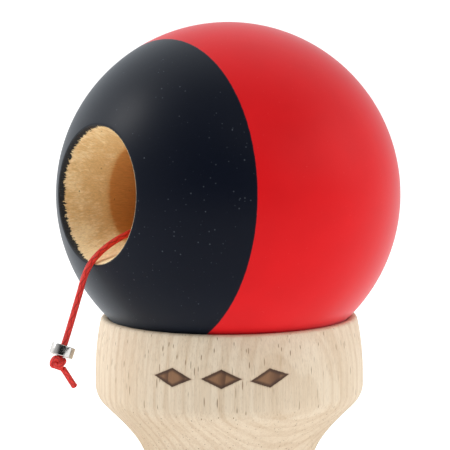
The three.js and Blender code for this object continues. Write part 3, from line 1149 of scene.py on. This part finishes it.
@dataclass(frozen=True)
class StringLine:
    """The route of the playing string, from the cross-piece's hole to the end knot, and of its tail."""

    exit_run: tuple[Place, ...] = (  # degrees round the cross-piece, distance from its axis and height
        (90, 0.0102, 0.0362), (90, 0.0152, 0.0362), (90, 0.0167, 0.03575), (89.5, 0.0174, 0.0343),
        (88, 0.0173, 0.0322), (85, 0.0169, 0.0299), (79, 0.0164, 0.028), (70, 0.0161, 0.0268),
    )
    back_run: tuple[Place, ...] = (
        (112, 0.017, 0.0269), (105.5, 0.017, 0.0283), (101, 0.0171, 0.031), (97.5, 0.0173, 0.0345),
        (92.5, 0.0178, 0.0385), (76, 0.0201, 0.047), (64.5, 0.02425, 0.056), (60, 0.02505, 0.0603),
        (45.85, 0.0287, 0.074), (40.56, 0.03106, 0.0802), (37.9, 0.0322, 0.0836), (37.13, 0.03275, 0.08564),
    )
    front_run: tuple[Point, ...] = (  # along the bore's plane and height above the ball's centre
        (-0.0329, -0.0052), (-0.0328, -0.0039), (-0.0321, -0.0026), (-0.0309, -0.0019), (-0.028, -0.00161),
        (-0.015, -0.00086), (-0.004, -0.0005), (0.002, -0.00095), (0.008, -0.002), (0.014, -0.0034),
        (0.0185, -0.0046), (0.0224, -0.0058), (0.025, -0.00695), (0.0272, -0.00835), (0.0289, -0.00995),
        (0.03005, -0.0119), (0.03095, -0.0143), (0.03295, -0.0197), (0.034, -0.0224), (0.03495, -0.0247),
    )
    tail_run: tuple[Point, ...] = (
        (0.03415, -0.0274), (0.0336, -0.0282), (0.033, -0.0291), (0.03235, -0.03005),
    )
    wound_radius: float = 0.01555  # m, the turns' centre
    turn_heights: Point = (0.02515, 0.0229)  # the top turn's and the bottom turn's
    wound_turns: int = 3
    point_every: float = 18  # degrees
    settling: float = 36  # degrees in which it comes to the top turn's height
    climbing: float = 0.7  # of a turn, in which it rises to the back run
    widening: float = 1.8  # how much sooner than its height it comes to the back run's radius
    step: float = 0.00035  # m, between the points of the line

    def winding(self) -> list[Vector]:
        """The turns round the neck: down it, then up over themselves to the back run.

        Returns:
            The turns' points, in metres.
        """
        first, last = self.exit_run[-1], self.back_run[0]
        span = first[0] + 360 * self.wound_turns - last[0]
        top, bottom = self.turn_heights
        count = int(span / self.point_every)
        climb = self.climbing * 360 / span
        points = []
        for i in range(1, count):
            share = i / count
            down = min(share / (1 - climb), 1.0)
            settled = min(share * span / self.settling, 1.0)
            rising = max(0.0, (share - 1 + climb) / climb)
            height = top + (bottom - top) * down
            height += (first[2] - height) * (1 - settled) ** 2
            height += (last[2] - height) * rising**2 * (3 - 2 * rising)
            out = min(1.0, rising * self.widening)
            radius = self.wound_radius + (last[1] - self.wound_radius) * out * out * (3 - 2 * out)
            points.append(round_cross(first[0] - span * share, radius, height))
        return points

    def route(self) -> list[Vector]:
        """The whole string's listed points and turns.

        Returns:
            The points from the hole to the end knot.
        """
        return [
            *(round_cross(*p) for p in self.exit_run),
            *self.winding(),
            *(round_cross(*p) for p in self.back_run),
            *(in_bore_plane(*p) for p in self.front_run),
        ]

    def end(self) -> tuple[Vector, Vector]:
        """Where the hanging end stops."""
        last, before = (in_bore_plane(*p) for p in (self.front_run[-1], self.front_run[-2]))
        return last, (last - before).normalized()


@dataclass(frozen=True)
class Knot:
    """A tight round knot of the same string."""

    size: float  # mm, its radius across
    half_height: float  # mm
    strand: float = 0.5  # mm, the tied string's radius
    sides: int = 14
    steps: int = 120
    loops: tuple[Point, ...] = ((1.0, 0.0), (0.5, 0.9))  # each loop's size and twist

    def lines(self, centre: Vector, axis: Vector) -> list[list[Vector]]:
        """The string's turns in the knot.

        Args:
            centre: The knot's middle, in metres.
            axis: The way that the string runs through it.

        Returns:
            One closed line round the outside and one inside it, in metres.
        """
        side = axis.orthogonal().normalized()
        other = axis.cross(side)
        reach = (self.size - self.strand) / 3
        lift = self.half_height - self.strand
        made = []
        for share, twist in self.loops:
            line = []
            for i in range(self.steps):
                t = math.tau * i / self.steps
                turn = t + twist
                x = (math.sin(turn) + 2 * math.sin(2 * turn)) * reach * share
                y = (math.cos(turn) - 2 * math.cos(2 * turn)) * reach * share
                z = -math.sin(3 * t) * lift
                line.append(centre + (side * x + other * y + axis * z) * MM)
            made.append(line)
        return made

    def build(self, name: str, centre: Vector, axis: Vector) -> bpy.types.Object:
        """Makes the knot at a place on its string."""
        return Tube(self.strand, self.sides).build(name, self.lines(centre, axis), looped=True)


@dataclass
class StringSet:
    """The string as one free cord, its knots, its tail and the short piece in the handle."""

    sizes: StringLine = StringLine()
    end_knot: Knot = Knot(1.42, 1.12)
    anchor_knot: Knot = Knot(1.4, 1.1)
    end_drop: float = 1.2  # mm, from the string's end to the end knot's middle
    anchor_depth: float = 7.1  # mm, from the handle's axis to the anchor knot's middle
    tail_radius: float = 0.5  # mm
    tail_flare: float = 1.08  # the melted end's size
    tail_tuck: float = 0.6  # mm of the tail inside the knot
    tail_step: float = 0.0002  # m
    anchored_step: float = 0.0003  # m
    blend_start: Point = (-0.0245, 0.062 - BALL_Z * MM)  # in the bore's plane, at the cross-piece's end
    blend_end: Point = (-0.0168, 0.0784 - BALL_Z * MM)  # and at the ball's end

    def __post_init__(self) -> None:
        """Makes the finish that its pieces share."""
        self.braid = Braid().material()

    def build(self, bearing: "Bearing") -> None:
        """Makes every piece of string and settles all but the free cord.

        Args:
            bearing: What hangs above the end knot; not used.
        """
        line = smooth_line(self.sizes.route(), self.sizes.step)
        cord = Tube().build("playing_string", [line])
        dress(cord, self.braid)
        last, way = self.sizes.end()
        knot = self.end_knot.build("end_knot", last + way * self.end_drop * MM, way)
        settle(dress(knot, self.braid), "string_end", ["string_end_knot"])
        tail = self._tail()
        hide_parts("string_exit_run", "string_winding", "string_back_run", "string_front_run")
        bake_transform(cord)
        length = line_length(line)
        LOG.info("string: %.4f m on its centreline", length)
        self._inside_handle()

    def _tail(self) -> bpy.types.Object:
        """Makes the cut end below the knot.

        Returns:
            The tail.
        """
        points = [in_bore_plane(*p) for p in self.sizes.tail_run]
        first = points[0] + (points[0] - points[1]).normalized() * self.tail_tuck * MM
        line = smooth_line([first, *points], self.tail_step)
        piece = Tube(self.tail_radius, end_flare=self.tail_flare).build("cut_end", [line])
        return settle(dress(piece, self.braid), "string_end", ["string_tail"])

    def _inside_handle(self) -> None:
        """Makes the anchor knot and the piece of string between it and the cross-piece."""
        low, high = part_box("string_in_handle")
        z = HANDLE_Z * MM
        ends = [Vector((CROSS_X * MM, y, z)) for y in (low.y, (low.y + high.y) / 2, high.y)]
        piece = Tube().build("anchored_string", [smooth_line(ends, self.anchored_step)])
        settle(dress(piece, self.braid), "handle", ["string_in_handle"])
        centre = Vector((CROSS_X, -self.anchor_depth, HANDLE_Z)) * MM
        knot = self.anchor_knot.build("anchor_knot", centre, Vector((0, 1, 0)))
        settle(dress(knot, self.braid), "handle", ["string_anchor_knot"])


@dataclass(frozen=True)
class Cup:
    """One turned cup, in millimetres, with depths from its rim."""

    seat: float
    bowl: float
    lip: tuple[Point, ...]  # the rim's own points, as radius and depth
    belly: float
    belly_depth: float
    corner: float
    corner_depth: float
    waist_depth: float
    turn_reach: float = 1.6  # the corner's rounding, along the band
    turn_side: float = 1.131  # and along the slope, on each axis
    slope_side: float = 3.889  # how far the slope pulls the curve to the waist, on each axis
    waist_reach: float = 5.5  # how far the waist does

    def outside(self, waist: float) -> list[Point]:
        """The outside from the lip to the waist.

        Args:
            waist: The waist's radius.

        Returns:
            Radius and depth of each point.
        """
        line = Outline().to(*self.lip)
        line.curve((self.belly, self.belly_depth / 2), (self.belly, self.belly_depth), steps=14)
        line.to((self.belly, self.corner_depth - self.turn_reach))
        flare = (self.corner - self.turn_side, self.corner_depth + self.turn_side)
        line.curve((self.corner, self.corner_depth), flare, steps=8)
        slope = (flare[0] - self.slope_side, flare[1] + self.slope_side)
        line.curve(slope, (waist, self.waist_depth - self.waist_reach), (waist, self.waist_depth), steps=28)
        return line.points


@dataclass(frozen=True)
class CrossPiece:
    """The wooden piece with the big cup above, the small cup below and the handle's hole between."""

    height: float = 70.0
    waist: float = 14.35
    big: Cup = Cup(20.58, 15.0, ((21.32, 0.0), (22.15, 0.0), (22.5, 0.3)), 23.55, 10.2, 23.35, 13.9, 28.0)
    small: Cup = Cup(18.2, 11.5, ((18.9, 0.0), (19.5, 0.0), (19.8, 0.3)), 20.8, 8.2, 20.6, 11.4, 23.5)
    corner_ease: float = 0.35
    handle_hole: tuple[Point, ...] = (
        (0, -24), (9.5, -24), (9.5, -14.6), (9.05, -14.2), (8.65, 24), (0, 24),
    )
    string_hole: tuple[Point, ...] = (
        (0, 5), (1.2, 5), (1.2, 13.55), (1.75, 14.25), (2.3, 15.2), (0, 15.2),
    )

    def outline(self) -> Outline:
        """The whole half outline, from the small bowl's middle up to the big bowl's.

        Returns:
            The outline.
        """
        below = [*dish(self.small.seat, self.small.bowl, 24), *self.small.outside(self.waist)]
        above = [*dish(self.big.seat, self.big.bowl, 24), *self.big.outside(self.waist)]
        line = Outline([*below, *((r, self.height - d) for r, d in reversed(above))])
        return line.eased(self.corner_ease)

    def build(self) -> None:
        """Makes, cuts, dresses and settles it."""
        piece = turned("cross_piece_wood", upright(), self.outline(), 192)
        bore_tool = turned("bore_tool", level(), Outline(self.handle_hole), 128)
        thread_tool = turned("thread_tool", through_string_hole(), Outline(self.string_hole), 40)
        carve(piece, [bore_tool, thread_tool])
        wood = Beech("cross_piece_beech", Grain.UP, pith=(38.0, -52.0), marks=Marks())
        dress(piece, wood.material())
        settle(piece, "cross_piece", ["cross_piece"])


@dataclass(frozen=True)
class Handle:
    """The wooden handle with the base cup at one end and the spike at the other, in millimetres."""

    reach: float = 95.0  # from the cross-piece's axis to the base cup's rim
    seat: float = 16.4
    bowl: float = 8.5
    rim: tuple[Point, ...] = ((17.1, -95.0), (17.6, -95.0))
    band: tuple[Point, ...] = ((18.6, -92.0), (18.6, -88.125))  # a curve's control point and end
    band_foot: Point = (18.1, -82.5)
    wrist: tuple[Point, ...] = ((9.9, -77.5), (7.9, -73.5), (7.9, -66.5))
    grip: tuple[Point, ...] = ((7.9, -52.25), (9.5, -47.5), (9.5, -36.1))
    shoulder: tuple[Point, ...] = ((9.5, -22.35), (9.2, -14.65))
    taper: tuple[Point, ...] = ((8.75, -14.65), (8.35, 14.35), (8.35, 16.35))
    spike: tuple[Point, ...] = ((7.55, 40.175), (3.6, 62.4))
    tip_turn: float = math.radians(84)  # where the tip's round end starts, from the axis
    corner_ease: float = 0.3
    tunnel: tuple[Point, ...] = ((0, -12), (2.1, -12), (2.1, -5.55), (1.2, -5.2), (1.2, 12), (0, 12))

    def outline(self) -> Outline:
        """The whole half outline, from the base bowl's middle to the spike's tip.

        Returns:
            The outline.
        """
        line = Outline([(r, d - self.reach) for r, d in dish(self.seat, self.bowl, 16)])
        line.to(*self.rim).curve(*self.band, steps=10).to(self.band_foot)
        line.curve(*self.wrist, steps=24).curve(*self.grip, steps=20).curve(*self.shoulder, steps=14)
        line.to(*self.taper).curve(*self.spike, steps=24)
        radius, centre = self.spike[-1]
        line.bowl(centre, self.tip_turn, 0.0, radius, 10)
        return line.eased(self.corner_ease)

    def build(self) -> None:
        """Makes, cuts, dresses and settles it."""
        piece = turned("handle_wood", level(), self.outline(), 144)
        carve(piece, [turned("tunnel_tool", through_string_hole(), Outline(self.tunnel), 40)])
        wood = Beech("handle_beech", Grain.ALONG, pith=(-46.0, 30.0), lean=-0.06)
        dress(piece, wood.material())
        settle(piece, "handle", ["handle_and_spike"])


@dataclass(frozen=True)
class Ball:
    """The painted wooden ball with its tapered bore, in millimetres."""

    radius: float = 30.0
    mouth: float = 11.6
    bore: float = 8.4
    cone_depth: float = 8.3
    bore_depth: float = 36.0
    drill_point: float = 2.6
    string_hole: float = 1.5
    hole_ease: float = 0.35  # how far the string hole's edge is cut back
    lip_flat: float = 0.25  # where the outside ends, beyond the mouth
    edge_width: float = 0.05  # the mouth's worn edge, inside it and below it
    edge_depth: float = 0.12
    lip_width: float = 0.4  # the steep lip under that edge
    lip_depth: float = 0.8
    paint_skin: float = 0.09  # what is deeper than this is bare wood
    corner_ease: float = 0.3

    def outline(self) -> Outline:
        """The half outline: round the outside from the string hole, down the bore and out again.

        Returns:
            The outline, closed round the string hole.
        """
        plane = math.sqrt(self.radius**2 - self.mouth**2)
        hole_turn = math.pi - math.asin((self.string_hole + self.hole_ease) / self.radius)
        lip_turn = math.asin((self.mouth + self.lip_flat) / self.radius)
        floor = plane - self.bore_depth
        line = Outline([], closed=True)
        line.bowl(0.0, hole_turn, lip_turn, self.radius, 110)
        line.to((self.mouth - self.edge_width, plane - self.edge_depth))
        line.to((self.mouth - self.lip_width, plane - self.lip_depth))
        cone_foot = (self.bore, plane - self.cone_depth)
        line.curve(cone_foot, steps=12).curve((self.bore, floor), steps=10)
        back = -math.sqrt(self.radius**2 - self.string_hole**2)
        line.to((self.string_hole, floor - self.drill_point))
        line.curve((self.string_hole, back + self.hole_ease), steps=8)
        return line.eased(self.corner_ease)

    def build(self) -> None:
        """Makes, dresses and settles it."""
        piece = turned("ball_wood", through_ball(), self.outline(), 224)
        dress(piece, BallPaint().material(), BoreWood().material())
        centre = through_ball().origin
        for face in piece.data.polygons:
            inside = (face.center - centre).length < (self.radius - self.paint_skin) * MM
            face.material_index = 1 if inside else 0
        settle(piece, "ball", ["ball"])


@dataclass
class Bearing:
    """The small steel bearing on the string, just above the end knot, in millimetres."""

    line: StringLine
    radius: float = 2.0
    half: float = 0.9
    inner_hole: float = 0.75
    inner_land: float = 1.08
    outer_land: float = 1.56
    roller: float = 0.3
    rollers: int = 7
    corner_ease: float = 0.11
    groove_half: float = 0.22  # half the balls' groove's width
    groove_gap: float = 0.03  # and its clearance round them
    plate: float = 0.05  # half a shield's thickness
    pieces: list[bpy.types.Object] = field(default_factory=list)

    def __post_init__(self) -> None:
        """Finds its axis on the string that it hangs on."""
        last, way = self.line.end()
        self.spindle = Spindle(last - way * self.half * MM, way, way.orthogonal().normalized())

    def _ring(
        self, name: str, outline: Outline, material: bpy.types.Material, body: str, node: str
    ) -> None:
        """Turns one ring.

        Args:
            name: Its name.
            outline: Its closed section.
            material: Its finish.
            body: What it rides on.
            node: The CAD node that it stands for.
        """
        outline.closed = True
        piece = turned(name, self.spindle, outline.eased(self.corner_ease, 4), 72)
        self.pieces.append(settle(dress(piece, material), body, [node]))

    def _race(self, wall: float, land: float) -> list[Point]:
        """The section of a ring with a round groove for the balls.

        Args:
            wall: The plain side's radius, in mm.
            land: The grooved side's.

        Returns:
            The section's points.
        """
        middle = (self.inner_land + self.outer_land) / 2
        reach = self.roller + self.groove_gap
        groove = []
        for i in range(13):
            h = self.groove_half * (i / 6 - 1)
            bow = math.sqrt(reach**2 - h**2)
            r = middle - bow if land < middle else middle + bow
            groove.append((min(r, land) if land < middle else max(r, land), h))
        return [(wall, -self.half), (land, -self.half), *groove, (land, self.half), (wall, self.half)]

    def build(self) -> None:
        """Makes, dresses and settles the rings and shields, and dresses the cage's and balls' CAD nodes."""
        centre = tuple(c / MM for c in self.spindle.origin)
        axis = tuple(self.spindle.along)
        polished = Steel("bearing_steel", centre, axis).material()
        satin = Steel("shield_steel", centre, axis, tint=(0.62, 0.62, 0.63), roughness=0.24).material()
        brass = Steel("cage_brass", centre, axis, tint=(0.72, 0.56, 0.28), roughness=0.3).material()
        outer = Outline(self._race(self.radius, self.outer_land))
        inner = Outline(self._race(self.inner_hole, self.inner_land))
        self._ring("outer_ring", outer, polished, "bearing_outer", "bearing_outer_ring")
        self._ring("inner_ring", inner, polished, "string_end", "bearing_inner_ring")
        for node in ("bearing_shield_front", "bearing_shield_back"):
            self._shield(node, satin)
        for node in ["bearing_cage", *(f"bearing_ball_{i}" for i in range(1, self.rollers + 1))]:
            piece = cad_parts[node]
            dress_node(piece, brass if node == "bearing_cage" else polished)
            self.pieces.append(piece)

    def _shield(self, node: str, material: bpy.types.Material) -> None:
        """Turns one pressed shield with a stepped edge.

        Args:
            node: The CAD node that it stands for.
            material: Its finish.
        """
        low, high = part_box(node)
        middle = ((low + high) / 2 - self.spindle.origin).dot(self.spindle.along) / MM
        side = 1 if middle > 0 else -1
        low_face, high_face = middle - self.plate, middle + self.plate
        inner, outer = self.inner_land + 0.05, self.outer_land + 0.02
        section = Outline().to(
            (inner, low_face), (outer - 0.12, low_face), (outer - 0.1, middle - 0.06),
            (outer, middle - 0.06), (outer, high_face), (outer - 0.1, high_face),
            (outer - 0.13, middle + 0.03 * side + 0.02), (inner, high_face),
        )
        name = "shield_front" if side > 0 else "shield_back"
        self._ring(name, section, material, "bearing_outer", node)


def dress_node(node: bpy.types.Object, material: bpy.types.Material) -> None:
    """Gives a CAD node a finish on its object's own slot.

    Args:
        node: The node.
        material: The finish.
    """
    if not node.material_slots:
        node.data.materials.append(material)
    for slot in node.material_slots:
        slot.link = "OBJECT"
        slot.material = material


def main() -> None:
    """Builds everything in order."""
    logging.basicConfig(level=logging.INFO, format="%(name)s: %(message)s")
    studio = Studio()
    studio.camera()
    strings = StringSet()
    bearing = Bearing(strings.sizes)
    bearing.build()
    strings.build(bearing)
    LOG.info("string and bearing made")
    for name, piece in (("cross-piece", CrossPiece()), ("handle", Handle()), ("ball", Ball())):
        piece.build()
        LOG.info("%s made", name)
    studio.surroundings()
    studio.lights()
    studio.floor()
    studio.view_transform()


if __name__ == "__main__":
    main()
